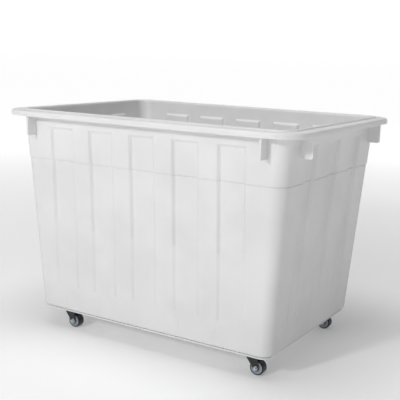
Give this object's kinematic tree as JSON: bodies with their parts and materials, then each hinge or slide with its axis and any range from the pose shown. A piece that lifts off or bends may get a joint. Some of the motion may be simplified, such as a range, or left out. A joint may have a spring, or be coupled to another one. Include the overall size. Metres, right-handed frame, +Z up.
{
  "type": "laundry cart",
  "caption": "Open-top tapered plastic laundry tub with an out-turned rim, panelled walls and ribs, standing on small swivel castors.",
  "frame": {"origin": "on the floor under the middle of the tub", "axes": "+X along the tub's length, +Y from the front long wall to the back long wall, +Z up"},
  "size_m": [0.755, 0.55, 0.527],
  "materials": {
    "tub_plastic": "satin moulded polyethylene",
    "zinc_plate": "zinc plated pressed steel",
    "bright_steel": "bright steel",
    "zinc_bolt": "blue-white zinc plate",
    "black_steel": "satin black coating",
    "hub_plastic": "grey moulded plastic",
    "tyre_rubber": "dark rubber"
  },
  "bodies": {
    "cart": {"tub": "tub_plastic", "fl_plate": "zinc_plate", "fl_cup": "zinc_plate", "fl_pin": "zinc_plate", "fl_screws": "bright_steel", "fr_plate": "zinc_plate", "fr_cup": "zinc_plate", "fr_pin": "zinc_plate", "fr_screws": "bright_steel", "rl_plate": "zinc_plate", "rl_cup": "zinc_plate", "rl_pin": "zinc_plate", "rl_screws": "bright_steel", "rr_plate": "zinc_plate", "rr_cup": "zinc_plate", "rr_pin": "zinc_plate", "rr_screws": "bright_steel"},
    "fl_yoke": {"fl_fork": "black_steel", "fl_balls": "bright_steel", "fl_axle": "zinc_bolt", "fl_axle_nut": "zinc_bolt", "fl_sleeve": "bright_steel"},
    "fl_wheel": {"fl_hub": "hub_plastic", "fl_tyre": "tyre_rubber"},
    "fr_yoke": {"fr_fork": "black_steel", "fr_balls": "bright_steel", "fr_axle": "zinc_bolt", "fr_axle_nut": "zinc_bolt", "fr_sleeve": "bright_steel"},
    "fr_wheel": {"fr_hub": "hub_plastic", "fr_tyre": "tyre_rubber"},
    "rl_yoke": {"rl_fork": "black_steel", "rl_balls": "bright_steel", "rl_axle": "zinc_bolt", "rl_axle_nut": "zinc_bolt", "rl_sleeve": "bright_steel"},
    "rl_wheel": {"rl_hub": "hub_plastic", "rl_tyre": "tyre_rubber"},
    "rr_yoke": {"rr_fork": "black_steel", "rr_balls": "bright_steel", "rr_axle": "zinc_bolt", "rr_axle_nut": "zinc_bolt", "rr_sleeve": "bright_steel"},
    "rr_wheel": {"rr_hub": "hub_plastic", "rr_tyre": "tyre_rubber"}
  },
  "joints": [
    {"name": "fl_swivel", "type": "hinge", "parent": "cart", "child": "fl_yoke", "pos_m": [-0.25, -0.176, 0.0445], "axis": [0, 0, 1], "continuous": true},
    {"name": "fl_roll", "type": "hinge", "parent": "fl_yoke", "child": "fl_wheel", "pos_m": [-0.231, -0.176, 0.016], "axis": [0, 1, 0], "continuous": true},
    {"name": "fr_swivel", "type": "hinge", "parent": "cart", "child": "fr_yoke", "pos_m": [0.25, -0.176, 0.0445], "axis": [0, 0, 1], "continuous": true},
    {"name": "fr_roll", "type": "hinge", "parent": "fr_yoke", "child": "fr_wheel", "pos_m": [0.269, -0.176, 0.016], "axis": [0, 1, 0], "continuous": true},
    {"name": "rl_swivel", "type": "hinge", "parent": "cart", "child": "rl_yoke", "pos_m": [-0.25, 0.176, 0.0445], "axis": [0, 0, 1], "continuous": true},
    {"name": "rl_roll", "type": "hinge", "parent": "rl_yoke", "child": "rl_wheel", "pos_m": [-0.231, 0.176, 0.016], "axis": [0, 1, 0], "continuous": true},
    {"name": "rr_swivel", "type": "hinge", "parent": "cart", "child": "rr_yoke", "pos_m": [0.25, 0.176, 0.0445], "axis": [0, 0, 1], "continuous": true},
    {"name": "rr_roll", "type": "hinge", "parent": "rr_yoke", "child": "rr_wheel", "pos_m": [0.269, 0.176, 0.016], "axis": [0, 1, 0], "continuous": true}
  ]
}
